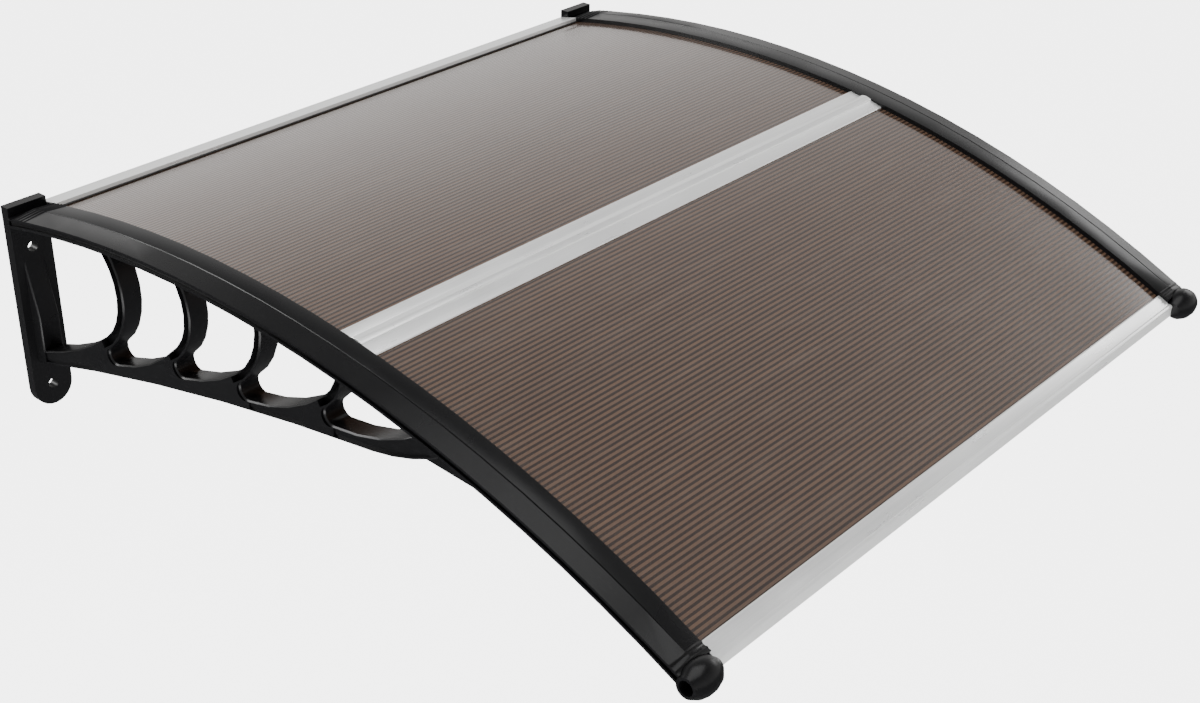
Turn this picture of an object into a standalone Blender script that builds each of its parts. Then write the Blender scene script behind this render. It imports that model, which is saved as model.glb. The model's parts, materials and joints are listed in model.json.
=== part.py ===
# Door canopy: two arched twin-wall sheets in aluminium rails, clamped between moulded openwork
# brackets and cover strips. X runs along the wall, the wall is the plane y = 0, the canopy reaches
# out along -Y and Z is up. The origin is where the sheet's top surface meets the wall.
# A place along the arch is its arc length from the wall, and a height over the sheet's top
# surface is called its rise.

import bpy
import bmesh
from math import acos, asin, atan2, ceil, cos, hypot, pi, radians, sin, sqrt
from mathutils import Matrix, Vector

# Driving dimensions, in metres and radians
WIDTH = 1.000
ARCH_RADIUS = 1.459
WALL_SLOPE = radians(11.6)
CLEARANCE = 0.0003

SHEET_THICKNESS = 0.005
SHEET_SKIN = 0.0006
FLUTE_PITCH = 0.006
FLUTE_WEB = 0.0007
SHEET_START = 0.0148
SHEET_END = 0.9912
SHEET_EDGE_INSET = 0.0255

COVER_WIDTH_WALL = 0.0547
COVER_WIDTH_FRONT = 0.0437
COVER_CROWN = 0.0073
COVER_INNER_RISE = 0.0058
COVER_OUTER_RISE = 0.0044
COVER_LIP = 0.0020
COVER_WALL = 0.0025
COVER_GROOVE_WIDTH = 0.0018
COVER_GROOVE_DEPTH = 0.0016
COVER_START = 0.0154
COVER_END = SHEET_END + 0.0073
COVER_FLARE = 0.0040
SKIRT_INSET = 0.0050
SKIRT_THICKNESS = 0.0028
BOSS_OFFSET = 0.0084
BOSS_WIDTH = 0.0090
POCKET_LENGTH = 0.0100
POCKET_DEPTH = 0.0030
RIDGE_PITCH = 0.0070
RIDGE_HEIGHT = 0.0014
RIDGE_FOOT = 0.0042
REAR_RIDGE_COUNT = 4
REAR_RIDGES_START = 0.0290
FRONT_RIDGE_COUNT = 2
FRONT_RIDGES_START = COVER_END - FRONT_RIDGE_COUNT * RIDGE_PITCH

PLATE_WIDTH = 0.050
PLATE_THICKNESS = 0.013
PLATE_TOP = 0.017
PLATE_BOTTOM = -0.243
PLATE_INSET = 0.004
BOLT_HOLE_DIAMETER = 0.0135
UPPER_BOLT_Z = -0.0375
LOWER_BOLT_Z = -0.2159
PLATE_RIB_DEPTH = 0.015
PLATE_RIB_TOP = -0.052
PLATE_RIB_SHOULDER = -0.120

FLANGE_THICKNESS = 0.003
FLANGE_INSET = 0.0025
TRUSS_WIDTH = 0.026
TRUSS_ROUNDING = 0.0015
STRUT_RIM = 0.0018
CHANNEL_DEPTH = 0.0085
CHANNEL_TOP_SETBACK = radians(9)
CHANNEL_FOOT_SETBACK = radians(10)
SCOOP_RADIUS = 0.0108
SCOOP_ANGLE = radians(37)
CRESCENT_WIDTH = 0.0045
CRESCENT_START_SETBACK = radians(28)
CRESCENT_END_SETBACK = radians(5)
BEAM_PANEL_DEPTH = 0.0025
BEAM_RIM = 0.0028
REAR_PANEL_SHARE = 0.45
CELL_PANEL_SHARES = {2: 0.55, 3: 0.85}
BEAM_AT_PLATE = -0.183
BEAM_MIDDLE = (-0.287, -0.1171)
BEAM_FRONT = (-0.585, -0.0702)
BEAM_TAIL = (-0.6432, -0.0554)
BEAM_TIP_PLACE = 0.700
GUSSET_END_PLACE = 0.745
FIN_THICKNESS = 0.006
FIN_DEPTH = 0.0055

KNOB_RADIUS = 0.0180
KNOB_BULGE = 0.0260
KNOB_GAP = 0.0006
KNOB_INNER_REACH = 0.0230
KNOB_OUTER_REACH = 0.0205
KNOB_SHIFT = 0.0015
KNOB_HOLLOW_RADIUS = 0.0080
KNOB_HOLLOW_DEPTH = 0.014

RAIL_DEPTH = 0.0305
RAIL_RISE = 0.0064
RAIL_WALL = 0.0016
RAIL_BACK_WALL = 0.0022
RAIL_FOOT = 0.026
SEAL_DEPTH = 0.010
SEAL_PROUD = 0.0022

STRIP_PLACE = 0.5318
STRIP_WIDTH = 0.050
STRIP_RISE = 0.0040
STRIP_RIB_WIDTH = 0.014
STRIP_RIB_RISE = 0.0061
STRIP_WALL = 0.0016
STRIP_WEB = 0.0020
STRIP_FOOT = 0.036

FRONT_RAIL_LAP = 0.0057
FRONT_RAIL_RISE = 0.0035
FRONT_BEAD_WIDTH = 0.0055
FRONT_BEAD_RISE = 0.0047
FRONT_RAIL_REACH = 0.0166
FRONT_FACE_DROP = 0.0102
FRONT_WALL = 0.0018
FRONT_GROOVE = 0.0014

CELL_SCREW_PLACES = (0.090, 0.240, 0.355, 0.475, 0.600)
FIN_SCREW_SHARES = (0.275, 0.790)
SCREW_RADIUS = 0.00175
SCREW_HEAD_RADIUS = 0.0035
SCREW_CROWN_RADIUS = 0.7 * SCREW_HEAD_RADIUS
SCREW_HEAD_HEIGHT = 0.0024
SCREW_LENGTH = 0.011

# Struts: centre of the ring that each is a part of (y, z), the ring's inner radius, the strut's
# thickness and the radius of the cell floor in front of it
STRUTS = (
    ((-0.1150, -0.0400), 0.0715, 0.0125, 0.236),
    ((-0.2417, -0.0203), 0.0622, 0.0110, 0.250),
    ((-0.3380, 0.0080), 0.0810, 0.0105, 0.240),
    ((-0.4835, 0.0096), 0.0557, 0.0110, 0.250),
)
REAR_FLOOR_RADIUS = 0.400
REAR_FLOOR_ANGLE = radians(37)
LAST_FLOOR_ANGLE = radians(3)

# Facets: length of a step along the arch, how far an arc's facet may lie inside the true arc and
# how far it may turn, and steps in a circle
ARCH_STEP = 0.052
FACET_SAG = 0.0006
FACET_TURN = radians(23)
RING_STEP = radians(1)
SMOOTH_TURN = radians(32)
SIDE_FACING = 0.99
CIRCLE_STEPS = 24
TAB_STEPS = 12
DOME_STEPS = 5
SMALL_CIRCLE_STEPS = 6
WELD_DISTANCE = 0.00002

# Values that follow from the driving dimensions
ARCH_Y = -ARCH_RADIUS * sin(WALL_SLOPE)
ARCH_Z = -ARCH_RADIUS * cos(WALL_SLOPE)
CENTRE_X = WIDTH / 2 - COVER_WIDTH_WALL / 2
BOSS_X = CENTRE_X + BOSS_OFFSET
PLATE_X = WIDTH / 2 - PLATE_INSET - PLATE_WIDTH / 2
SHEET_X = WIDTH / 2 - SHEET_EDGE_INSET
FLANGE_TOP = -SHEET_THICKNESS - CLEARANCE
FLANGE_BOTTOM = FLANGE_TOP - FLANGE_THICKNESS
FLANGE_MIDDLE = FLANGE_TOP - FLANGE_THICKNESS / 2
KNOB_X = CENTRE_X + KNOB_SHIFT
KNOB_PLACE = SHEET_END + KNOB_GAP + KNOB_RADIUS
FRONT_RAIL_START = SHEET_END - FRONT_RAIL_LAP
FRONT_FACE = SHEET_END + FRONT_RAIL_REACH
FIN_RUN = SHEET_END - BEAM_TIP_PLACE
SCREW_PLACES = [*CELL_SCREW_PLACES, *(BEAM_TIP_PLACE + share * FIN_RUN for share in FIN_SCREW_SHARES)]
REAR_RIDGES_END = REAR_RIDGES_START + RIDGE_PITCH * REAR_RIDGE_COUNT


def archPoint(place, rise=0.0):
    """Point (y, z) on the arch at an arc length from the wall and a height over the sheet."""
    angle = WALL_SLOPE - place / ARCH_RADIUS
    radius = ARCH_RADIUS + rise
    return ARCH_Y + radius * sin(angle), ARCH_Z + radius * cos(angle)


def archAtY(y, rise):
    """Point (y, z) at a height over the sheet and a given distance from the wall."""
    radius = ARCH_RADIUS + rise
    return y, ARCH_Z + sqrt(radius * radius - (y - ARCH_Y) ** 2)


def coverHalf(place):
    """Half the cover's width, which tapers evenly from the wall to the front."""
    return (COVER_WIDTH_WALL + (COVER_WIDTH_FRONT - COVER_WIDTH_WALL) * place) / 2


def coverInnerX(place):
    return CENTRE_X - coverHalf(place)


def places(start, end, step=ARCH_STEP):
    """Even places along the arch from start to end."""
    count = max(1, ceil((end - start) / step))
    return [start + (end - start) * i / count for i in range(count + 1)]


def toward(angle):
    """Unit vector (y, z): angle 0 points down, a quarter turn points to the front."""
    return Vector((-sin(angle), -cos(angle)))


def arc(centre, radius, start, end):
    """Points on a circle from one angle to another."""
    step = min(FACET_TURN, 2 * acos(1 - FACET_SAG / radius))
    count = max(2, ceil(abs(end - start) / step))
    return [Vector(centre) + radius * toward(start + (end - start) * i / count)
            for i in range(count + 1)]


def arcThrough(first, middle, last):
    """Points on the circle that passes through three points, from the first to the last."""
    a, b, c = Vector(first), Vector(middle), Vector(last)
    d = 2 * (a.x * (b.y - c.y) + b.x * (c.y - a.y) + c.x * (a.y - b.y))
    squares = [p.length_squared for p in (a, b, c)]
    centre = Vector((
        (squares[0] * (b.y - c.y) + squares[1] * (c.y - a.y) + squares[2] * (a.y - b.y)) / d,
        (squares[0] * (c.x - b.x) + squares[1] * (a.x - c.x) + squares[2] * (b.x - a.x)) / d))

    def angleOf(point):
        return atan2(centre.x - point.x, centre.y - point.y)

    start, through, end = angleOf(a), angleOf(b), angleOf(c)
    through = start + (through - start + pi) % (2 * pi) - pi
    end = through + (end - through + pi) % (2 * pi) - pi
    return arc(centre, (a - centre).length, start, end)


def material(name, colour, roughness, metallic=0.0, alpha=1.0):
    made = bpy.data.materials.new(name)
    made.use_nodes = True
    shader = made.node_tree.nodes["Principled BSDF"]
    shader.inputs["Base Color"].default_value = (*colour, 1.0)
    shader.inputs["Roughness"].default_value = roughness
    shader.inputs["Metallic"].default_value = metallic
    shader.inputs["Alpha"].default_value = alpha
    return made


def addPrism(bm, outline, x0, x1):
    """Adds an outline in the Y-Z plane, extruded along X."""
    corners = [bm.verts.new((x0, y, z)) for y, z in outline]
    face = bm.faces.new(corners)
    grown = bmesh.ops.extrude_face_region(bm, geom=[face])["geom"]
    moved = [item for item in grown if isinstance(item, bmesh.types.BMVert)]
    bmesh.ops.translate(bm, verts=moved, vec=(x1 - x0, 0, 0))


def addTurned(bm, profile, matrix, steps):
    """Adds a profile of (radius, height) pairs turned about its own Z axis."""
    rings = []
    for radius, height in profile:
        if radius == 0:
            rings.append([bm.verts.new(matrix @ Vector((0, 0, height)))])
        else:
            rings.append([bm.verts.new(matrix @ Vector((
                radius * cos(2 * pi * i / steps), radius * sin(2 * pi * i / steps), height)))
                for i in range(steps)])
    for low, high in zip(rings, rings[1:]):
        for i in range(steps):
            j = (i + 1) % steps
            if len(low) == 1:
                bm.faces.new((low[0], high[i], high[j]))
            elif len(high) == 1:
                bm.faces.new((low[i], high[0], low[j]))
            else:
                bm.faces.new((low[i], high[i], high[j], low[j]))


def addSweep(bm, sections):
    """Adds a closed solid through a row of sections that have the same number of points."""
    rings = [[bm.verts.new(point) for point in section] for section in sections]
    count = len(rings[0])
    for low, high in zip(rings, rings[1:]):
        for i in range(count):
            j = (i + 1) % count
            bm.faces.new((low[i], low[j], high[j], high[i]))
    bm.faces.new(rings[0])
    bm.faces.new(rings[-1])


def solid(name, build, finish=None):
    """Makes a closed object from a function that fills a bmesh."""
    bm = bmesh.new()
    build(bm)
    bmesh.ops.recalc_face_normals(bm, faces=bm.faces[:])
    mesh = bpy.data.meshes.new(name)
    bm.to_mesh(mesh)
    bm.free()
    made = bpy.data.objects.new(name, mesh)
    bpy.context.scene.collection.objects.link(made)
    if finish:
        mesh.materials.append(finish)
        shade(mesh)
    return made


def shade(mesh):
    mesh.shade_smooth()
    mesh.set_sharp_from_angle(angle=SMOOTH_TURN)


def weld(mesh):
    """Closes the slivers that a cut leaves where two edges nearly meet."""
    bm = bmesh.new()
    bm.from_mesh(mesh)
    bmesh.ops.remove_doubles(bm, verts=bm.verts[:], dist=WELD_DISTANCE)
    bmesh.ops.dissolve_degenerate(bm, dist=WELD_DISTANCE, edges=bm.edges[:])
    bm.to_mesh(mesh)
    bm.free()


def combine(body, tool, operation):
    """Cuts or joins a body with a tool, which is used up."""
    modifier = body.modifiers.new("Boolean", "BOOLEAN")
    modifier.object = tool
    modifier.operation = operation
    modifier.solver = "EXACT"
    view = bpy.context.evaluated_depsgraph_get()
    mesh = bpy.data.meshes.new_from_object(body.evaluated_get(view))
    body.modifiers.clear()
    body.data = mesh
    bpy.data.objects.remove(tool)
    weld(mesh)


def mirrored(source, name):
    """The same piece for the other side of the canopy."""
    mesh = source.data.copy()
    mesh.transform(Matrix.Scale(-1, 4, (1, 0, 0)))
    mesh.flip_normals()
    mesh.name = name
    made = bpy.data.objects.new(name, mesh)
    bpy.context.scene.collection.objects.link(made)
    return made


def boreMatrix(x, y, z):
    """Places a turned tool with its axis along Y."""
    return Matrix.Translation((x, y, z)) @ Matrix.Rotation(pi / 2, 4, "X")


def screwMatrix(place, rise):
    """Places a turned piece on the boss line with its axis square to the arch."""
    y, z = archPoint(place, rise)
    tilt = WALL_SLOPE - place / ARCH_RADIUS
    return Matrix.Translation((BOSS_X, y, z)) @ Matrix.Rotation(-tilt, 4, "X")


def scoopCentre(strut):
    centre, radius, thickness, floor = strut
    return Vector(centre) + (radius + thickness + SCOOP_RADIUS) * toward(SCOOP_ANGLE)


def floorBetween(strut, following):
    """Floor arc that runs smoothly from a strut's scoop into the next strut's ring."""
    scoop = scoopCentre(strut)
    ring = Vector(following[0])
    floor = strut[3]
    near = floor - SCOOP_RADIUS
    far = floor - following[1]
    gap = (ring - scoop).length
    along = (near * near - far * far + gap * gap) / (2 * gap)
    across = (ring - scoop).normalized()
    height = sqrt(near * near - along * along)
    upward = Vector((across.y, -across.x))
    if upward.y < 0:
        upward = -upward
    centre = scoop + along * across + height * upward
    start = atan2(centre.x - scoop.x, centre.y - scoop.y)
    end = atan2(centre.x - ring.x, centre.y - ring.y)
    return centre, start, end


def cellTop(y):
    """A point well over the arch's crown, where a cell's cutting tool ends."""
    return Vector((y, ARCH_RADIUS + ARCH_Z + PLATE_THICKNESS))


def ringEnd(centre, radius):
    """Angle at which a ring has passed into the flange on its way up."""
    angle = LAST_FLOOR_ANGLE
    while angle < pi:
        y, z = Vector(centre) + radius * toward(angle)
        if hypot(y - ARCH_Y, z - ARCH_Z) > ARCH_RADIUS + FLANGE_MIDDLE:
            break
        angle += RING_STEP
    return angle


def rearFloor():
    """Floor of the cell behind the first strut: its circle's centre and its two end angles."""
    ring, radius = Vector(STRUTS[0][0]), STRUTS[0][1]
    centre = ring + (radius - REAR_FLOOR_RADIUS) * toward(REAR_FLOOR_ANGLE)
    ribFront = -PLATE_THICKNESS - PLATE_RIB_DEPTH
    return centre, asin((centre.x - ribFront) / REAR_FLOOR_RADIUS), REAR_FLOOR_ANGLE


def rearCell():
    """Outline of the cell between the wall plate and the first strut."""
    ring, radius = Vector(STRUTS[0][0]), STRUTS[0][1]
    plateFront = -PLATE_THICKNESS
    ribFront = plateFront - PLATE_RIB_DEPTH
    floorCentre, start, end = rearFloor()
    outline = [cellTop(plateFront), Vector((plateFront, PLATE_RIB_TOP)),
               Vector((ribFront, PLATE_RIB_SHOULDER))]
    outline += arc(floorCentre, REAR_FLOOR_RADIUS, start, end)
    outline += arc(ring, radius, end, ringEnd(ring, radius))[1:]
    outline.append(cellTop(outline[-1].x))
    return outline


def cellFloor(index):
    """Floor of the cell in front of a strut: its circle's centre and its two end angles."""
    if index + 1 < len(STRUTS):
        return floorBetween(STRUTS[index], STRUTS[index + 1])
    shift = STRUTS[index][3] - SCOOP_RADIUS
    centre = scoopCentre(STRUTS[index]) - shift * toward(LAST_FLOOR_ANGLE)
    return centre, LAST_FLOOR_ANGLE, ringEnd(centre, STRUTS[index][3])


def frontCell(index):
    """Outline of the cell in front of a strut."""
    centre, radius, thickness, floor = STRUTS[index]
    outer = radius + thickness
    floorCentre, start, end = cellFloor(index)
    outline = arc(centre, outer, ringEnd(centre, outer), SCOOP_ANGLE)
    outline.insert(0, cellTop(outline[0].x))
    outline += arc(scoopCentre(STRUTS[index]), SCOOP_RADIUS, SCOOP_ANGLE + pi, start + 2 * pi)[1:]
    outline += arc(floorCentre, floor, start, end)[1:]
    if index + 1 < len(STRUTS):
        following = STRUTS[index + 1]
        outline += arc(following[0], following[1], end, ringEnd(*following[:2]))[1:]
    outline.append(cellTop(outline[-1].x))
    return outline


def beamLine():
    """Lower edge of the beam, from the wall plate to its tip at the flange."""
    lower = arcThrough((-PLATE_THICKNESS, BEAM_AT_PLATE), BEAM_MIDDLE, BEAM_FRONT)
    tail = arcThrough(BEAM_FRONT, BEAM_TAIL, archPoint(BEAM_TIP_PLACE, FLANGE_MIDDLE))
    return lower + tail[1:]


def heightOn(line, y):
    """Height of a line of points at a distance from the wall."""
    for rear, front in zip(line, line[1:]):
        if rear.x >= y >= front.x:
            return rear.y + (front.y - rear.y) * (rear.x - y) / (rear.x - front.x)
    return line[-1].y


def trussOutline():
    inside = -PLATE_THICKNESS / 2
    top = [archPoint(place, FLANGE_MIDDLE) for place in places(-inside, BEAM_TIP_PLACE)]
    lower = beamLine()[:-1]
    return top + lower[::-1] + [Vector((inside, BEAM_AT_PLATE))]


def roundTrussEdges(mesh):
    """Rounds the long edges between the truss's side faces and its walls."""
    bm = bmesh.new()
    bm.from_mesh(mesh)
    bm.normal_update()
    rims = []
    for edge in bm.edges:
        if len(edge.link_faces) == 2:
            flat = [abs(face.normal.x) > SIDE_FACING for face in edge.link_faces]
            if flat[0] != flat[1]:
                rims.append(edge)
    bmesh.ops.bevel(bm, geom=rims, offset=TRUSS_ROUNDING, segments=1, profile=0.5,
                    affect="EDGES", clamp_overlap=True, material=-1)
    bm.to_mesh(mesh)
    bm.free()


def channelOutline(strut):
    """Hollow of a strut's side, between its rear rim and its front rim."""
    centre, radius, thickness, floor = strut
    inner, outer = radius + STRUT_RIM, radius + thickness - STRUT_RIM
    top = ringEnd(centre, radius) - CHANNEL_TOP_SETBACK
    start = SCOOP_ANGLE - CHANNEL_FOOT_SETBACK
    return arc(centre, inner, start, top) + arc(centre, outer, top, start)


def crescentOutline(strut):
    """Pocket under a strut that curls round its scoop."""
    centre = scoopCentre(strut)
    inner = SCOOP_RADIUS + STRUT_RIM
    start = SCOOP_ANGLE + pi + CRESCENT_START_SETBACK
    end = 2 * pi - CRESCENT_END_SETBACK
    inside = arc(centre, inner, start, end)
    middle = centre + (inner + CRESCENT_WIDTH) * toward((start + end) / 2)
    outside = arcThrough(inside[-1], middle, inside[0])
    return inside + outside[1:-1]


def beamPanels():
    """Shallow hollows of the beam's sides, between a cell's floor and the lower edge."""
    centre, start, end = rearFloor()
    runs = [(centre, REAR_FLOOR_RADIUS, start, start + REAR_PANEL_SHARE * (end - start))]
    for index, share in CELL_PANEL_SHARES.items():
        centre, start, end = cellFloor(index)
        runs.append((centre, STRUTS[index][3], start, start + share * (end - start)))
    lower = beamLine()
    outlines = []
    for centre, radius, start, end in runs:
        upper = arc(centre, radius + STRUT_RIM, start, end)
        below = [Vector((point.x, heightOn(lower, point.x) + BEAM_RIM)) for point in upper]
        tip = Vector((2 * upper[-1].x - upper[-2].x, 0))
        tip.y = heightOn(lower, tip.x) + BEAM_RIM
        outlines.append(upper + [tip] + below[::-1])
    return outlines


def sidePockets(outlines, depth):
    """A function that adds the same hollows to both sides of the truss."""
    half = TRUSS_WIDTH / 2

    def build(bm):
        for outline in outlines:
            for face in (-1, 1):
                bottom = CENTRE_X + face * (half - depth)
                top = CENTRE_X + face * (half + STRUT_RIM)
                addPrism(bm, outline, bottom, top)
    return build


def truss():
    low, high = CENTRE_X - TRUSS_WIDTH / 2, CENTRE_X + TRUSS_WIDTH / 2
    body = solid("truss", lambda bm: addPrism(bm, trussOutline(), low, high))
    cells = [rearCell()] + [frontCell(index) for index in range(len(STRUTS))]
    for outline in cells:
        tool = solid("cell", lambda bm: addPrism(bm, outline, low - TRUSS_WIDTH, high + TRUSS_WIDTH))
        combine(body, tool, "DIFFERENCE")
    roundTrussEdges(body.data)
    channels = [channelOutline(strut) for strut in STRUTS]
    combine(body, solid("channels", sidePockets(channels, CHANNEL_DEPTH)), "DIFFERENCE")
    crescents = [crescentOutline(strut) for strut in STRUTS]
    combine(body, solid("crescents", sidePockets(crescents, CHANNEL_DEPTH)), "DIFFERENCE")
    combine(body, solid("panels", sidePockets(beamPanels(), BEAM_PANEL_DEPTH)), "DIFFERENCE")
    return body


def plate():
    """Wall plate with a square top and a round tab at its foot."""
    half = PLATE_WIDTH / 2
    turns = [pi + pi * i / TAB_STEPS for i in range(TAB_STEPS + 1)]
    tab = [(PLATE_X + half * cos(turn), PLATE_BOTTOM + half + half * sin(turn)) for turn in turns]
    outline = tab + [(PLATE_X + half, PLATE_TOP), (PLATE_X - half, PLATE_TOP)]

    def build(bm):
        corners = [bm.verts.new((x, 0, z)) for x, z in outline]
        face = bm.faces.new(corners)
        grown = bmesh.ops.extrude_face_region(bm, geom=[face])["geom"]
        moved = [item for item in grown if isinstance(item, bmesh.types.BMVert)]
        bmesh.ops.translate(bm, verts=moved, vec=(0, -PLATE_THICKNESS, 0))
    return solid("plate", build)


def flange():
    """Top flange that carries the sheet's edge, following the cover's taper."""
    sections = []
    for place in places(PLATE_THICKNESS / 2, KNOB_PLACE - KNOB_RADIUS / 4):
        half = coverHalf(place) - FLANGE_INSET
        low, high = CENTRE_X - half, CENTRE_X + half
        corners = ((low, FLANGE_BOTTOM), (high, FLANGE_BOTTOM), (high, FLANGE_TOP), (low, FLANGE_TOP))
        sections.append([(x, *archPoint(place, rise)) for x, rise in corners])
    return solid("flange", lambda bm: addSweep(bm, sections))


def fin():
    """Thin gusset in front of the beam, running on as a rib under the flange."""
    floorCentre, floorStart, floorEnd = cellFloor(len(STRUTS) - 1)
    run = places(GUSSET_END_PLACE, KNOB_PLACE - KNOB_RADIUS / 2)
    outline = [BEAM_TAIL]
    outline += [archPoint(place, FLANGE_BOTTOM - FIN_DEPTH) for place in run]
    outline += [archPoint(place, FLANGE_MIDDLE) for place in reversed(run)]
    cellFront = floorCentre + STRUTS[-1][3] * toward(floorEnd)
    outline.append(archAtY(cellFront.x, FLANGE_MIDDLE))
    half = FIN_THICKNESS / 2
    return solid("fin", lambda bm: addPrism(bm, outline, CENTRE_X - half, CENTRE_X + half))


def knobMatrix():
    """Places a turned piece with its axis along X at the knob."""
    return Matrix.Translation((KNOB_X, *archPoint(KNOB_PLACE))) @ Matrix.Rotation(pi / 2, 4, "Y")


def knobShape(name, growth):
    """The knob's bulging body, or one that is larger all round."""
    low, high = -KNOB_INNER_REACH - growth, KNOB_OUTER_REACH + growth
    profile = [(0, low)]
    for i in range(DOME_STEPS + 1):
        at = low + (high - low) * i / DOME_STEPS
        share = at / (KNOB_BULGE + growth)
        profile.append(((KNOB_RADIUS + growth) * sqrt(1 - share * share), at))
    profile.append((0, high))
    return solid(name, lambda bm: addTurned(bm, profile, knobMatrix(), CIRCLE_STEPS))


def knobHollow():
    """Blind hole in the knob's outer end."""
    low, high = KNOB_OUTER_REACH - KNOB_HOLLOW_DEPTH, KNOB_OUTER_REACH + KNOB_HOLLOW_RADIUS
    profile = [(0, low), (KNOB_HOLLOW_RADIUS, low), (KNOB_HOLLOW_RADIUS, high), (0, high)]
    return solid("hollow", lambda bm: addTurned(bm, profile, knobMatrix(), CIRCLE_STEPS // 2))


def boltHoles():
    radius = BOLT_HOLE_DIAMETER / 2
    reach = PLATE_THICKNESS + PLATE_RIB_DEPTH

    def build(bm):
        for z in (UPPER_BOLT_Z, LOWER_BOLT_Z):
            profile = [(0, -reach), (radius, -reach), (radius, reach), (0, reach)]
            addTurned(bm, profile, boreMatrix(PLATE_X, 0, z), CIRCLE_STEPS // 2)
    return solid("bolt_holes", build)


def screwHoles(low, high):
    """Clearance holes for the clamp screws, between two rises."""
    radius = SCREW_RADIUS + CLEARANCE

    def build(bm):
        for place in SCREW_PLACES:
            profile = [(0, low), (radius, low), (radius, high), (0, high)]
            addTurned(bm, profile, screwMatrix(place, 0), SMALL_CIRCLE_STEPS)
    return solid("screw_holes", build)


def bracket(finish):
    body = flange()
    combine(body, knobShape("knob", 0.0), "UNION")
    combine(body, fin(), "UNION")
    combine(body, knobHollow(), "DIFFERENCE")
    combine(body, plate(), "UNION")
    combine(body, truss(), "UNION")
    combine(body, boltHoles(), "DIFFERENCE")
    margin = FLANGE_THICKNESS
    combine(body, screwHoles(FLANGE_BOTTOM - margin, FLANGE_TOP + margin), "DIFFERENCE")
    body.name = body.data.name = "right_bracket"
    body.data.materials.clear()
    body.data.materials.append(finish)
    shade(body.data)
    return body


def ridgeStations(start, count):
    """Places along a group of cross ridges and how far the cover's top is lifted there."""
    stations = []
    for i in range(count):
        first = start + RIDGE_PITCH * i
        stations += [(first, 0.0), (first + RIDGE_FOOT / 2, RIDGE_HEIGHT), (first + RIDGE_FOOT, 0.0)]
    return stations


def flare(place):
    """Lift of the cover's crown where it runs up against the knob."""
    run = COVER_END - FRONT_RIDGES_START
    share = max(0.0, (place - FRONT_RIDGES_START) / run)
    return COVER_FLARE * share * share


def coverSection(place, lift, groove):
    """Section of the cover from its inner edge over the crown to the skirt, and back inside."""
    half = coverHalf(place)
    slot = COVER_GROOVE_WIDTH / 2
    depth = COVER_GROOVE_DEPTH if groove else 0.0
    seat = CLEARANCE
    under = COVER_INNER_RISE - COVER_WALL
    skirtOut = half - SKIRT_INSET
    skirtIn = skirtOut - SKIRT_THICKNESS
    bossIn, bossOut = BOSS_OFFSET - BOSS_WIDTH / 2, BOSS_OFFSET + BOSS_WIDTH / 2
    foot = FLANGE_TOP + CLEARANCE
    inner = COVER_INNER_RISE + lift + flare(place) / 2
    crown = COVER_CROWN + lift + flare(place)
    outer = COVER_OUTER_RISE + lift / 3
    corners = (
        (-half, seat), (-half, inner), (-slot, crown), (0, crown - depth), (slot, crown),
        (half, outer), (half, COVER_LIP),
        (skirtOut, COVER_LIP), (skirtOut, foot), (skirtIn, foot), (skirtIn, COVER_LIP),
        (bossOut, COVER_LIP), (bossOut, foot), (bossIn, foot), (bossIn, under),
        (COVER_WALL - half, under), (COVER_WALL - half, seat))
    return [(CENTRE_X + dx, *archPoint(place, rise)) for dx, rise in corners]


def coverStations():
    """Places along the cover with the lift of its top there."""
    pocketEnd = COVER_START + POCKET_LENGTH
    stations = [(COVER_START, -POCKET_DEPTH), (pocketEnd, -POCKET_DEPTH)]
    stations += ridgeStations(REAR_RIDGES_START, REAR_RIDGE_COUNT)
    stations += [(place, 0.0) for place in places(REAR_RIDGES_END, FRONT_RIDGES_START)[:-1]]
    stations += ridgeStations(FRONT_RIDGES_START, FRONT_RIDGE_COUNT)
    return stations + [(COVER_END, 0.0)]


def cover(finish):
    sections = []
    for place, lift in coverStations():
        groove = REAR_RIDGES_END <= place < FRONT_RIDGES_START
        sections.append(coverSection(place, lift, groove))
    body = solid("right_cover", lambda bm: addSweep(bm, sections))
    combine(body, knobShape("knob_room", CLEARANCE), "DIFFERENCE")
    depth = SCREW_LENGTH + CLEARANCE + FLANGE_BOTTOM
    combine(body, screwHoles(FLANGE_TOP - FLANGE_THICKNESS, depth), "DIFFERENCE")
    body.data.materials.append(finish)
    shade(body.data)
    return body


def sheet(name, start, end, finish):
    """Twin-wall sheet: two skins joined by webs, with the flutes open at both side edges."""
    count = round((end - start - FLUTE_WEB) / FLUTE_PITCH)
    pitch = (end - start - FLUTE_WEB) / count
    low, high = SHEET_SKIN - SHEET_THICKNESS, -SHEET_SKIN

    def corner(place, rise):
        y, z = archPoint(place, rise)
        return (-SHEET_X, y, z)

    def build(bm):
        ends = []
        for i in range(count + 1):
            place = start if i == 0 else end if i == count else start + FLUTE_WEB / 2 + pitch * i
            ends.append([bm.verts.new(corner(place, rise)) for rise in (0, -SHEET_THICKNESS)])
        faces = []
        for i in range(count):
            first = start + FLUTE_WEB + pitch * i
            last = first + pitch - FLUTE_WEB
            flute = [bm.verts.new(corner(*at)) for at in
                     ((first, high), (last, high), (last, low), (first, low))]
            around = [ends[i][0], ends[i + 1][0], ends[i + 1][1], ends[i][1]]
            for j in range(4):
                k = (j + 1) % 4
                faces.append(bm.faces.new((around[j], around[k], flute[k], flute[j])))
        grown = bmesh.ops.extrude_face_region(bm, geom=faces)["geom"]
        moved = [item for item in grown if isinstance(item, bmesh.types.BMVert)]
        bmesh.ops.translate(bm, verts=moved, vec=(2 * SHEET_X, 0, 0))
    return solid(name, build, finish)


def railHalf(start, end):
    """Half length of a cross rail that ends just short of the covers' inner edges."""
    return min(coverInnerX(start), coverInnerX(end)) - CLEARANCE


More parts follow.
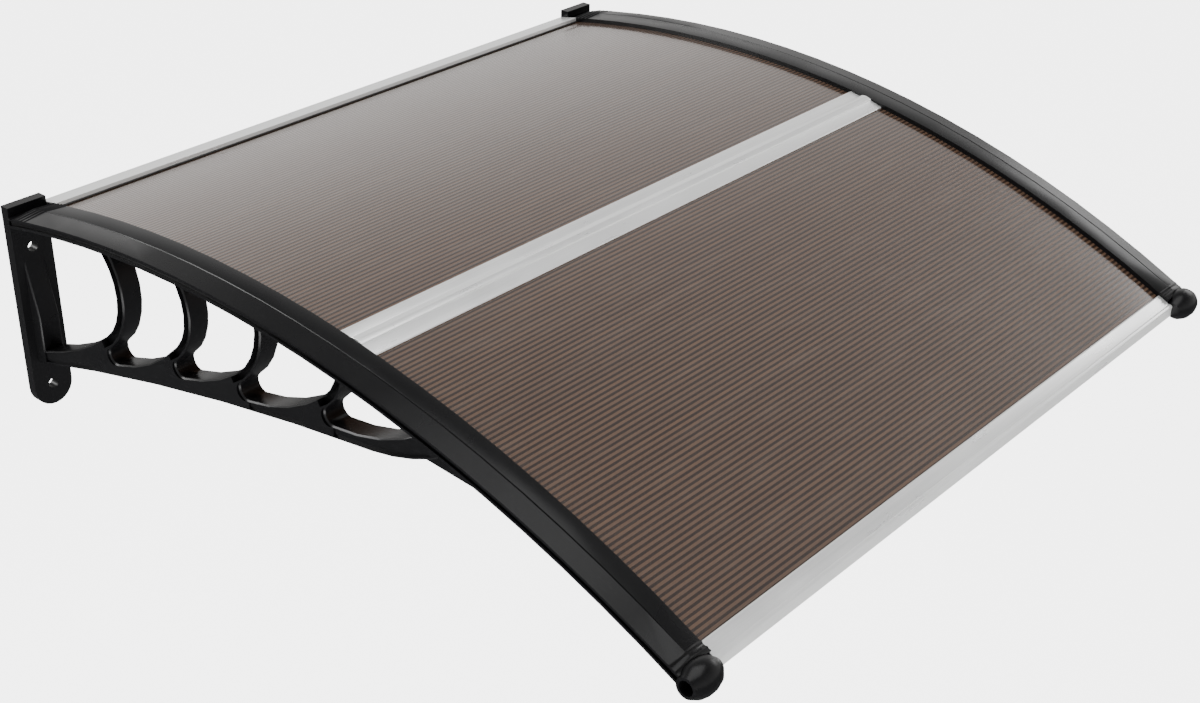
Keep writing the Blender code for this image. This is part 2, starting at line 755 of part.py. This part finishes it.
def rearRailHalf():
    """Half length of the wall rail, which also ends between the two wall plates."""
    return min(railHalf(0, RAIL_DEPTH), PLATE_X - PLATE_WIDTH / 2 - CLEARANCE)


def rearRail(finish):
    front = -RAIL_DEPTH
    back = -RAIL_BACK_WALL
    under = RAIL_RISE - RAIL_WALL
    footTop = FLANGE_TOP
    footBottom = FLANGE_TOP - RAIL_WALL
    outline = [archAtY(y, RAIL_RISE) for y in (0, front / 2, front)]
    outline += [archAtY(y, under) for y in (front, front / 2, back)]
    outline += [archAtY(y, footTop) for y in (back, -RAIL_FOOT)]
    outline += [archAtY(y, footBottom) for y in (-RAIL_FOOT, 0)]
    half = rearRailHalf()
    return solid("rear_rail", lambda bm: addPrism(bm, outline, -half, half), finish)


def rearSeal(finish):
    """Rubber strip between the wall rail's front lip and the sheet."""
    front = -RAIL_DEPTH - SEAL_PROUD
    back = -RAIL_DEPTH + SEAL_DEPTH
    high = RAIL_RISE - RAIL_WALL - CLEARANCE
    outline = [archAtY(y, high) for y in (back, front)]
    outline += [archAtY(front - SEAL_PROUD / 3, high / 2)]
    outline += [archAtY(y, CLEARANCE) for y in (front, back)]
    half = rearRailHalf()
    return solid("rear_seal", lambda bm: addPrism(bm, outline, -half, half), finish)


def middleStrip(finish):
    """H section: a broad top flange with a raised rib, a web and a narrower foot."""
    half, rib, web, foot = STRIP_WIDTH / 2, STRIP_RIB_WIDTH / 2, STRIP_WEB / 2, STRIP_FOOT / 2
    step = STRIP_WALL / 2
    under = STRIP_RISE - STRIP_WALL
    footTop, footBottom = FLANGE_TOP, FLANGE_TOP - STRIP_WALL
    side = [(web, footTop), (web, under), (half - STRIP_WALL, under - step),
            (half - STRIP_WALL, CLEARANCE), (half, CLEARANCE), (half, STRIP_RISE - step),
            (half - step, STRIP_RISE), (rib + step, STRIP_RISE), (rib, STRIP_RIB_RISE)]
    around = [(foot, footBottom), (foot, footTop)] + side
    around += [(-at, rise) for at, rise in reversed(around)]
    outline = [archPoint(STRIP_PLACE + at, rise) for at, rise in around]
    length = railHalf(STRIP_PLACE - half, STRIP_PLACE + half)
    return solid("middle_strip", lambda bm: addPrism(bm, outline, -length, length), finish)


def frontRail(finish):
    """Edge rail: a top flange with a bead, a groove under it and a face that drops as a drip lip."""
    seat, under = CLEARANCE, FRONT_RAIL_RISE - FRONT_WALL
    start, lip = FRONT_RAIL_START, FRONT_RAIL_START + FRONT_WALL
    bead = FRONT_FACE - FRONT_BEAD_WIDTH
    notch = FRONT_GROOVE
    inner = FRONT_FACE - FRONT_WALL
    topY, topZ = archPoint(FRONT_FACE, notch)
    lowZ = topZ - FRONT_FACE_DROP
    upper = [(start, seat), (start, FRONT_RAIL_RISE - notch), (start + notch, FRONT_RAIL_RISE),
             (bead, FRONT_RAIL_RISE), (bead + notch, FRONT_BEAD_RISE),
             (FRONT_FACE - notch, FRONT_BEAD_RISE), (FRONT_FACE, FRONT_BEAD_RISE - notch),
             (FRONT_FACE, 2 * notch - seat), (inner, 2 * notch - seat), (inner, notch)]
    outline = [archPoint(place, rise) for place, rise in upper]
    outline += [(topY, topZ), (topY, lowZ), (topY + FRONT_WALL, lowZ)]
    foot = archAtY(topY + FRONT_WALL, FLANGE_TOP - FRONT_WALL)
    lower = [(start, FLANGE_TOP - FRONT_WALL), (start, FLANGE_TOP), (inner - FRONT_WALL, FLANGE_TOP),
             (inner - FRONT_WALL, under), (lip, under), (lip, seat)]
    outline += [foot] + [archPoint(place, rise) for place, rise in lower]
    half = railHalf(FRONT_RAIL_START, FRONT_FACE)
    return solid("front_rail", lambda bm: addPrism(bm, outline, -half, half), finish)


def screw(name, place, finish):
    """Pan-head screw from below, through the flange and into the cover's boss."""
    head = FLANGE_BOTTOM - CLEARANCE
    bottom = head - SCREW_HEAD_HEIGHT
    tip = head + SCREW_LENGTH
    profile = [(0, bottom), (SCREW_CROWN_RADIUS, bottom),
               (SCREW_HEAD_RADIUS, head - SCREW_HEAD_HEIGHT / 2), (SCREW_HEAD_RADIUS, head),
               (SCREW_RADIUS, head), (SCREW_RADIUS, tip - SCREW_RADIUS), (0, tip)]
    matrix = screwMatrix(place, 0)
    return solid(name, lambda bm: addTurned(bm, profile, matrix, SMALL_CIRCLE_STEPS), finish)


def main():
    for old in list(bpy.data.objects):
        bpy.data.objects.remove(old)
    black = material("black_plastic", (0.012, 0.012, 0.013), 0.45)
    bronze = material("bronze_sheet", (0.16, 0.10, 0.07), 0.25, alpha=0.8)
    metal = material("aluminium", (0.80, 0.80, 0.79), 0.35, 1.0)
    rubber = material("rubber", (0.01, 0.01, 0.01), 0.8)
    steel = material("zinc_steel", (0.6, 0.6, 0.6), 0.3, 1.0)

    mirrored(bracket(black), "left_bracket")
    mirrored(cover(black), "left_cover")
    joint = STRIP_WEB / 2 + CLEARANCE
    sheet("rear_sheet", SHEET_START, STRIP_PLACE - joint, bronze)
    sheet("front_sheet", STRIP_PLACE + joint, SHEET_END, bronze)
    rearRail(metal)
    rearSeal(rubber)
    middleStrip(metal)
    frontRail(metal)
    for i, place in enumerate(SCREW_PLACES, 1):
        right = screw("right_screw_%d" % i, place, steel)
        mirrored(right, "left_screw_%d" % i)


main()
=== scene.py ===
import json
import math

import bmesh
import bpy
from mathutils import Matrix, Vector


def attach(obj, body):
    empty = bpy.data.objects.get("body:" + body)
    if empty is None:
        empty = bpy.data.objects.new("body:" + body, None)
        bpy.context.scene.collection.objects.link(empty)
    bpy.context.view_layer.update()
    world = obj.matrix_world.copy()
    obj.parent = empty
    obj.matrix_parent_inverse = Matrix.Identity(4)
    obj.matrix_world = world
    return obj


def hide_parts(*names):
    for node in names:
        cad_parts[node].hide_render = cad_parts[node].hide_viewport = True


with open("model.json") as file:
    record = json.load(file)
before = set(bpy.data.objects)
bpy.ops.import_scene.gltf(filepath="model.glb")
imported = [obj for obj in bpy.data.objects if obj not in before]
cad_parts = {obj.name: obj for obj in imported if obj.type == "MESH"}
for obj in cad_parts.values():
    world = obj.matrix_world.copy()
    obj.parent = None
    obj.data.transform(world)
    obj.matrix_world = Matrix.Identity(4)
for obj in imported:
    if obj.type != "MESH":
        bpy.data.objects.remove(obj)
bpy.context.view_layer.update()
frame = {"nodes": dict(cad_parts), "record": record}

# Door canopy: bronze twin-wall sheets in aluminium rails, black moulded brackets and cover strips.
# Lengths are in metres.
scene = bpy.context.scene
arch = {"radius": 1.459, "wallSlope": math.radians(11.6), "flutePitch": 0.006}  # as in the part
archCentre = Vector((0, -arch["radius"] * math.sin(arch["wallSlope"]),
                     -arch["radius"] * math.cos(arch["wallSlope"])))
sides = ("left", "right")


def addNode(tree, kind, **values):  # one shader node with its sockets and settings
    node = tree.nodes.new(kind)
    for name, value in values.items():
        if name in node.inputs:
            node.inputs[name].default_value = value
        else:
            setattr(node, name, value)
    return node


def newMaterial(name):  # with its tree, its shader and the piece's own coordinates
    material = bpy.data.materials.new(name)
    material.use_nodes = True
    tree = material.node_tree
    shader = tree.nodes["Principled BSDF"]
    coordinates = tree.nodes.new("ShaderNodeTexCoord").outputs["Object"]
    return material, tree, shader, coordinates


def scaled(tree, coordinates, scale):
    mapping = addNode(tree, "ShaderNodeMapping", Scale=scale)
    tree.links.new(coordinates, mapping.inputs["Vector"])
    return mapping.outputs["Vector"]


def noise(tree, vector, scale, detail=2.0, roughness=0.5):
    node = addNode(tree, "ShaderNodeTexNoise", Scale=scale, Detail=detail, Roughness=roughness)
    tree.links.new(vector, node.inputs["Vector"])
    return node.outputs["Fac"]


def spread(tree, value, low, high, start=0.3, end=0.7):  # start becomes low, and end becomes high
    node = tree.nodes.new("ShaderNodeMapRange")
    numbers = {"From Min": start, "From Max": end, "To Min": low, "To Max": high}
    for socket, number in numbers.items():
        node.inputs[socket].default_value = number
    tree.links.new(value, node.inputs["Value"])
    return node.outputs["Result"]


def mixColour(tree, factor, first, second):
    node = tree.nodes.new("ShaderNodeMix")
    node.data_type = "RGBA"
    # the Mix node's colours are its sockets 6 and 7, and its colour result is output 2
    for socket, colour in ((6, first), (7, second)):
        if isinstance(colour, tuple):
            node.inputs[socket].default_value = (*colour, 1)
        else:
            tree.links.new(colour, node.inputs[socket])
    tree.links.new(factor, node.inputs[0])
    return node.outputs[2]


def calculate(tree, operation, first, second=None):
    node = addNode(tree, "ShaderNodeMath", operation=operation)
    for i, value in enumerate((first, second)):
        if value is None:
            continue
        if isinstance(value, (int, float)):
            node.inputs[i].default_value = value
        else:
            tree.links.new(value, node.inputs[i])
    return node.outputs[0]


def bump(tree, shader, heights):  # (height, depth) pairs laid over each other
    normal = None
    for height, depth in heights:
        node = addNode(tree, "ShaderNodeBump", Strength=1.0, Distance=depth)
        tree.links.new(height, node.inputs["Height"])
        if normal:
            tree.links.new(normal, node.inputs["Normal"])
        normal = node.outputs["Normal"]
    tree.links.new(normal, shader.inputs["Normal"])


def paint(tree, shader, colour, roughness):
    tree.links.new(colour, shader.inputs["Base Color"])
    tree.links.new(roughness, shader.inputs["Roughness"])


# In the looks, a size is the width of a pattern's grain, and a scale is its grains per metre,
# times the stretch along x, y and z where there is one.
plasticLook = {
    "dark": (0.0030, 0.0030, 0.0033), "light": (0.0065, 0.0065, 0.0070),
    "roughness": (0.24, 0.32), "specular": 0.20, "patchScale": 9,
    "grainSize": 0.0006, "grainDepth": 0.00002, "waveSize": 0.05, "waveDepth": 0.00012,
    "scuffStretch": (60, 12, 60), "scuffScale": 6, "scuffRange": (0.55, 0.75),
}


def makePlastic(look):
    material, tree, shader, place = newMaterial("blackPlastic")
    grain = noise(tree, place, 1 / look["grainSize"], detail=3)
    wave = noise(tree, place, 1 / look["waveSize"], detail=1)
    patches = noise(tree, place, look["patchScale"], detail=4)
    scuffs = noise(tree, scaled(tree, place, look["scuffStretch"]), look["scuffScale"],
                   detail=5, roughness=0.7)
    worn = spread(tree, scuffs, 0, 1, *look["scuffRange"])
    paint(tree, shader, mixColour(tree, worn, look["dark"], look["light"]),
          spread(tree, patches, *look["roughness"]))
    shader.inputs["Specular IOR Level"].default_value = look["specular"]
    bump(tree, shader, ((wave, look["waveDepth"]), (grain, look["grainDepth"])))
    return material


sheetLook = {
    "body": (0.090, 0.055, 0.038), "warm": (0.110, 0.062, 0.038), "laneStretch": (2, 150, 150),
    "web": (0.024, 0.014, 0.010), "webShare": 0.48, "webBlur": 0.35,
    "dustColour": (0.30, 0.25, 0.21), "dust": 0.08, "dustRange": (0.5, 0.8),
    "dustStretch": (5, 40, 40), "dustScale": 2, "patchScale": 5,
    "alpha": 0.992, "roughness": (0.16, 0.22), "coat": 0.85, "coatRoughness": 0.10,
    "skinWaveDepth": 0.00010, "waveSize": 0.16, "waveDepth": 0.0006,
}


def makeSheet(look):
    material, tree, shader, place = newMaterial("bronzeSheet")
    split = tree.nodes.new("ShaderNodeSeparateXYZ")
    tree.links.new(place, split.inputs[0])
    across = calculate(tree, "SUBTRACT", split.outputs["Y"], archCentre.y)
    upward = calculate(tree, "SUBTRACT", split.outputs["Z"], archCentre.z)
    angle = calculate(tree, "ARCTAN2", across, upward)
    length = calculate(tree, "MULTIPLY", angle, -arch["radius"])
    flutes = calculate(tree, "DIVIDE", length, arch["flutePitch"])
    # a cosine along the arch: 1 over a web, -1 over the middle of a flute
    wave = calculate(tree, "COSINE", calculate(tree, "MULTIPLY", flutes, 2 * math.pi))
    edge = math.cos(math.pi * look["webShare"])
    web = spread(tree, wave, 0, 1, edge - look["webBlur"], edge + look["webBlur"])
    patches = noise(tree, place, look["patchScale"], detail=5)
    lanes = noise(tree, scaled(tree, place, look["laneStretch"]), scale=1,
                  detail=3, roughness=0.6)
    dust = noise(tree, scaled(tree, place, look["dustStretch"]), look["dustScale"],
                 detail=5, roughness=0.65)
    dusty = spread(tree, dust, 0, look["dust"], *look["dustRange"])
    plain = mixColour(tree, spread(tree, lanes, 0, 1), look["body"], look["warm"])
    colour = mixColour(tree, web, plain, look["web"])
    paint(tree, shader, mixColour(tree, dusty, colour, look["dustColour"]),
          spread(tree, patches, *look["roughness"]))
    shader.inputs["Alpha"].default_value = look["alpha"]
    shader.inputs["Coat Weight"].default_value = look["coat"]
    shader.inputs["Coat Roughness"].default_value = look["coatRoughness"]
    warp = noise(tree, place, 1 / look["waveSize"], detail=1)
    bump(tree, shader, ((warp, look["waveDepth"]), (wave, look["skinWaveDepth"])))
    return material


metalLook = {
    "dark": (0.86, 0.87, 0.86), "light": (0.97, 0.97, 0.96), "roughness": (0.26, 0.36),
    "metallic": 0.68, "anisotropic": 0.3, "patchStretch": (6, 25, 25), "patchScale": 2,
    "lineLength": 0.35, "lineWidth": 0.0009, "lineDepth": 0.00003,
}


def makeMetal(look):
    material, tree, shader, place = newMaterial("satinAluminium")
    stretch = (1 / look["lineLength"], 1 / look["lineWidth"], 1 / look["lineWidth"])
    lines = noise(tree, scaled(tree, place, stretch), scale=1, detail=3, roughness=0.6)
    patches = noise(tree, scaled(tree, place, look["patchStretch"]), look["patchScale"], detail=4)
    paint(tree, shader, mixColour(tree, spread(tree, lines, 0, 1), look["dark"], look["light"]),
          spread(tree, patches, *look["roughness"]))
    shader.inputs["Metallic"].default_value = look["metallic"]
    shader.inputs["Anisotropic"].default_value = look["anisotropic"]
    bump(tree, shader, ((lines, look["lineDepth"]),))
    return material


rubberLook = {
    "dark": (0.009, 0.009, 0.009), "light": (0.022, 0.021, 0.020), "roughness": (0.62, 0.8),
    "patchStretch": (5, 90, 90), "patchScale": 2, "grainSize": 0.0008, "grainDepth": 0.00008,
}


def makeRubber(look):
    material, tree, shader, place = newMaterial("sealRubber")
    grain = noise(tree, place, 1 / look["grainSize"], detail=4)
    patches = noise(tree, scaled(tree, place, look["patchStretch"]), look["patchScale"], detail=4)
    paint(tree, shader, mixColour(tree, spread(tree, patches, 0, 1), look["dark"], look["light"]),
          spread(tree, grain, *look["roughness"]))
    bump(tree, shader, ((grain, look["grainDepth"]),))
    return material


zincLook = {
    "dark": (0.45, 0.46, 0.48), "light": (0.68, 0.68, 0.66), "roughness": (0.22, 0.42),
    "metallic": 1.0, "patchScale": 160, "grainSize": 0.0011, "grainDepth": 0.00002,
}


def makeZinc(look):
    material, tree, shader, place = newMaterial("zincSteel")
    grain = noise(tree, place, 1 / look["grainSize"], detail=4)
    patches = noise(tree, place, look["patchScale"], detail=3)
    paint(tree, shader, mixColour(tree, spread(tree, patches, 0, 1), look["dark"], look["light"]),
          spread(tree, grain, *look["roughness"]))
    shader.inputs["Metallic"].default_value = look["metallic"]
    bump(tree, shader, ((grain, look["grainDepth"]),))
    return material


finishes = {
    "black_plastic": makePlastic(plasticLook),
    "bronze_sheet": makeSheet(sheetLook),
    "aluminium": makeMetal(metalLook),
    "rubber": makeRubber(rubberLook),
    "zinc_steel": makeZinc(zincLook),
}
slots = {row["node"]: row["material_slot"] for row in frame["record"]["subparts"]}
print("materials ready")

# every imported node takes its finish, also the ones that stay as they are
for name, node in frame["nodes"].items():
    for slot in node.material_slots:
        slot.link = "OBJECT"
        slot.material = finishes[slots[name]]
print("packed nodes painted")

# how near two vertices are merged, and how flat an edge is dissolved
merging = {"distance": 0.00001, "flatAngle": math.radians(0.4)}


def placeOnArch(point):  # the point's place along the arch and its rise over the sheet's top
    across, upward = point.y - archCentre.y, point.z - archCentre.z
    rise = math.hypot(across, upward) - arch["radius"]
    return (arch["wallSlope"] - math.atan2(across, upward)) * arch["radius"], rise


def onArch(place, rise):  # the point at this place and rise, on the middle plane
    angle = arch["wallSlope"] - place / arch["radius"]
    reach = arch["radius"] + rise
    return archCentre + reach * Vector((0, math.sin(angle), math.cos(angle)))


def moveCorner(bm, place, rise, lift, reach=0.0004):  # lifts a section's corner, square to the arch
    for vert in bm.verts:
        vertPlace, vertRise = placeOnArch(vert.co)
        if math.hypot(vertPlace - place, vertRise - rise) < reach:
            outward = Vector((0, vert.co.y - archCentre.y, vert.co.z - archCentre.z)).normalized()
            bmesh.ops.translate(bm, verts=[vert], vec=lift * outward)


def addFin(bm, fin, side):  # the long thin fin that runs out under the bracket's flange
    middle = fin["middle"] if side == "right" else -fin["middle"]
    start = Vector((middle - fin["thickness"] / 2, 0, 0))
    nearVerts = [bm.verts.new(start + onArch(*corner)) for corner in fin["outline"]]
    outline = bm.faces.new(nearVerts)
    farFace = bmesh.ops.extrude_discrete_faces(bm, faces=[outline])["faces"][0]
    bmesh.ops.translate(bm, verts=farFace.verts[:], vec=(fin["thickness"], 0, 0))
    bm.faces.new(nearVerts)  # the extrude takes the near face away
    finVerts = {*nearVerts, *farFace.verts}
    shell = [face for face in bm.faces if finVerts.issuperset(face.verts)]
    bmesh.ops.recalc_face_normals(bm, faces=shell)


def crownRib(bm, place, rise, lift):  # cuts a line along the middle of the rib and lifts it
    outward = (onArch(place, 1) - onArch(place, 0)).normalized()
    along = Vector((1, 0, 0)).cross(outward)
    whole = [*bm.verts, *bm.edges, *bm.faces]
    bmesh.ops.bisect_plane(bm, geom=whole, dist=merging["distance"],
                           plane_co=onArch(place, 0), plane_no=along)
    moveCorner(bm, place, rise, lift)


def refine(node, name, shape):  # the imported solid, merged, with its sharp edges rounded
    mesh = frame["nodes"][node].data.copy()
    mesh.name = name
    mesh.materials.clear()
    mesh.materials.append(finishes[slots[node]])
    bm = bmesh.new()
    bm.from_mesh(mesh)
    bmesh.ops.remove_doubles(bm, verts=bm.verts[:], dist=merging["distance"])
    bmesh.ops.dissolve_limit(bm, angle_limit=merging["flatAngle"],
                             verts=bm.verts[:], edges=bm.edges[:])
    for place, rise, lift in shape.get("moves", ()):
        moveCorner(bm, place, rise, lift)
    if "crown" in shape:
        crownRib(bm, *shape["crown"])
    if "fin" in shape:
        addFin(bm, shape["fin"], node.split("_")[0])
    bm.to_mesh(mesh)
    bm.free()
    piece = bpy.data.objects.new(name, mesh)
    scene.collection.objects.link(piece)
    rounding = piece.modifiers.new("rounding", "BEVEL")
    rounding.width = shape["edge"]
    rounding.segments = shape["segments"]
    rounding.limit_method = "ANGLE"
    rounding.angle_limit = shape["crease"]
    rounding.use_clamp_overlap = True
    rounding.harden_normals = True
    mesh.shade_smooth()
    mesh.set_sharp_from_angle(angle=shape["crease"])
    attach(piece, "root")
    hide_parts(node)


# Corners below are a place along the arch and a rise over the sheet's top. "moves" and "crown"
# also say how far such a corner is lifted. Edges sharper than the crease are rounded.
bracket = {
    "edge": 0.0011, "segments": 3, "crease": math.radians(34),
    "fin": {
        "middle": 0.4727, "thickness": 0.0070,
        "outline": ((0.6595, -0.0412), (0.8000, -0.0118), (0.8035, -0.0070), (0.7000, -0.0070),
                    (0.6595, -0.0200)),
    },
}
cover = {"edge": 0.0005, "segments": 2, "crease": math.radians(24)}
for side in sides:
    refine(side + "_bracket", side + "Bracket", bracket)
    refine(side + "_cover", side + "Cover", cover)
print("brackets and covers ready")

rearRail = {
    "edge": 0.0003, "segments": 2, "crease": math.radians(28),
    "moves": ((0.03195, 0.0048, -0.0030),),
}
refine("rear_rail", "rearRail", rearRail)

middleStrip = {
    "edge": 0.0005, "segments": 3, "crease": math.radians(30), "crown": (0.5318, 0.0061, 0.0014),
    "moves": ((0.5240, 0.0040, -0.0008), (0.5248, 0.0061, -0.0002), (0.5388, 0.0061, -0.0002),
              (0.5396, 0.0040, 0.0003), (0.5560, 0.0040, -0.0018), (0.5568, 0.0032, -0.0018)),
}
refine("middle_strip", "middleStrip", middleStrip)

frontRail = {"edge": 0.0004, "segments": 3, "crease": math.radians(28)}
refine("front_rail", "frontRail", frontRail)

rearSeal = {
    "edge": 0.0003, "segments": 3, "crease": math.radians(28),
    "moves": ((0.02175, 0.0045, -0.0028), (0.03412, 0.0045, -0.0028),
              (0.03446, 0.00225, -0.0012)),
}
refine("rear_seal", "rearSeal", rearSeal)
print("rails, strip and seal ready")

# Camera of the photograph, worked out from the part's own edges
camera = {
    "place": (-1.4852, -1.71668, 0.85842), "lens": 54.76, "sensor": 36,
    "right": (0.650391, -0.759517, 0.011181), "up": (0.357506, 0.319061, 0.877718),
    "back": (-0.670209, -0.566863, 0.479046),
}


def placeCamera(settings):
    data = bpy.data.cameras.new("camera")
    data.lens = settings["lens"]
    data.sensor_width = settings["sensor"]
    made = bpy.data.objects.new("camera", data)
    scene.collection.objects.link(made)
    turn = Matrix((settings["right"], settings["up"], settings["back"])).transposed()
    made.matrix_world = Matrix.Translation(settings["place"]) @ turn.to_4x4()
    scene.camera = made


lights = {
    "overhead": {"place": (-0.3, -0.7, 3.0), "target": (0, -0.5, 0),
                 "size": (3.0, 3.0), "power": 95},
    "side": {"place": (3.3, -0.9, 1.1), "target": (0.3, -0.7, 0),
             "size": (1.6, 0.9), "power": 16},
    "rim": {"place": (-2.2, 2.3, 1.8), "target": (-0.5, -0.4, -0.05),
            "size": (1.6, 1.6), "power": 100},
    "low": {"place": (-2.1, -1.45, -1.15), "target": (-0.5, -0.3, -0.1),
            "size": (1.0, 1.0), "power": 30},
}


def placeLight(name, settings):
    data = bpy.data.lights.new(name, "AREA")
    data.shape = "RECTANGLE"
    data.size, data.size_y = settings["size"]
    data.energy = settings["power"]
    made = bpy.data.objects.new(name, data)
    made.location = settings["place"]
    toTarget = Vector(settings["target"]) - made.location
    made.rotation_mode = "QUATERNION"
    made.rotation_quaternion = toTarget.to_track_quat("-Z", "Y")
    made.visible_camera = False
    scene.collection.objects.link(made)


# the fades are heights on the sky's unit ball
sky = {
    "horizon": (1.05, 1.04, 1.03), "top": (0.22, 0.22, 0.23), "under": (0.14, 0.14, 0.14),
    "topFade": (0.32, 0.85), "underFade": (-0.15, 0), "strength": 1.0,
}


def makeSky(settings):
    world = bpy.data.worlds.new("studio")
    world.use_nodes = True
    tree = world.node_tree
    background = tree.nodes["Background"]
    background.inputs["Strength"].default_value = settings["strength"]
    place = tree.nodes.new("ShaderNodeTexCoord").outputs["Generated"]
    split = tree.nodes.new("ShaderNodeSeparateXYZ")
    tree.links.new(place, split.inputs[0])
    height = spread(tree, split.outputs["Z"], 0, 1, *settings["topFade"])
    above = mixColour(tree, height, settings["horizon"], settings["top"])
    below = spread(tree, split.outputs["Z"], 1, 0, *settings["underFade"])
    tree.links.new(mixColour(tree, below, above, settings["under"]), background.inputs["Color"])
    scene.world = world


floorLook = {
    "size": 90.0, "height": -2.3, "colour": (0.90, 0.90, 0.90), "roughness": 0.9, "glow": 4.2,
    "patchScale": 3, "patchShade": 0.04, "patchColour": 0.9,
}


def makeFloor(settings):
    mesh = bpy.data.meshes.new("floor")
    bm = bmesh.new()
    bmesh.ops.create_grid(bm, x_segments=1, y_segments=1, size=settings["size"])
    bmesh.ops.translate(bm, verts=bm.verts[:], vec=(0, 0, settings["height"]))
    bm.to_mesh(mesh)
    bm.free()
    made = bpy.data.objects.new("floor", mesh)
    scene.collection.objects.link(made)
    material, tree, shader, place = newMaterial("floorPaint")
    patches = noise(tree, place, settings["patchScale"], detail=3)
    shade = spread(tree, patches, 0, settings["patchShade"])
    darker = tuple(settings["patchColour"] * c for c in settings["colour"])
    tree.links.new(mixColour(tree, shade, settings["colour"], darker), shader.inputs["Base Color"])
    shader.inputs["Roughness"].default_value = settings["roughness"]
    shader.inputs["Emission Color"].default_value = (1, 1, 1, 1)
    shader.inputs["Emission Strength"].default_value = settings["glow"]
    made.visible_glossy = False
    mesh.materials.append(material)


placeCamera(camera)
for name, settings in lights.items():
    placeLight(name, settings)
makeSky(sky)
makeFloor(floorLook)
print("camera, lights and floor ready")
